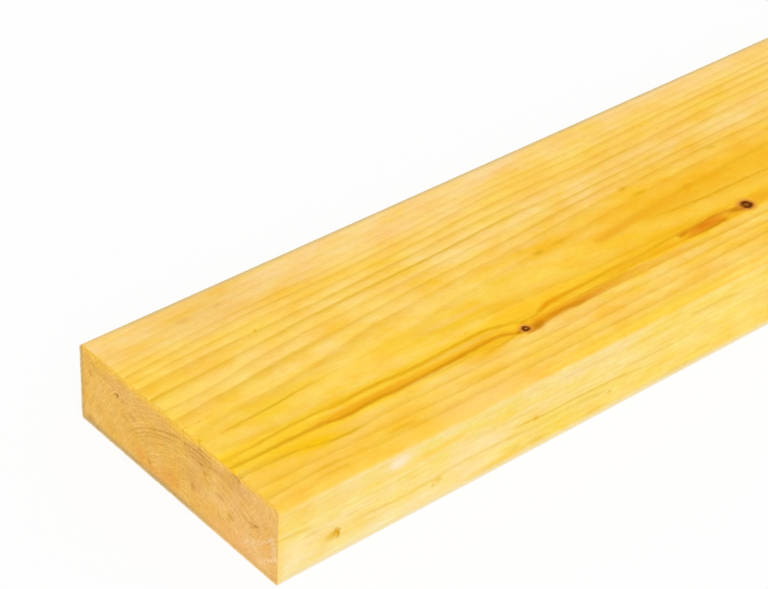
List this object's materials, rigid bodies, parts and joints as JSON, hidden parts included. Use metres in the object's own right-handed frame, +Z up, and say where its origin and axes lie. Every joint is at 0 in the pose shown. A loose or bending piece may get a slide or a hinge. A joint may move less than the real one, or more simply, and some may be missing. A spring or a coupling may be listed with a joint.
{
  "type": "timber plank",
  "caption": "Straight planed softwood plank of solid rectangular section, with rounded long edges, square sawn ends and small knots in the upper face.",
  "frame": {"origin": "middle of the underside, where the plank rests", "axes": "+X along the length, away from the sawn end that the picture shows; +Y across the width, away from the narrow face that the picture shows; +Z up through the thickness"},
  "size_m": [2.4, 0.15, 0.045],
  "materials": {
    "planed_softwood": "planed bare softwood, flat-sawn grain, sawn end grain at both ends"
  },
  "bodies": {
    "root": {"plank": "planed_softwood"}
  },
  "joints": []
}
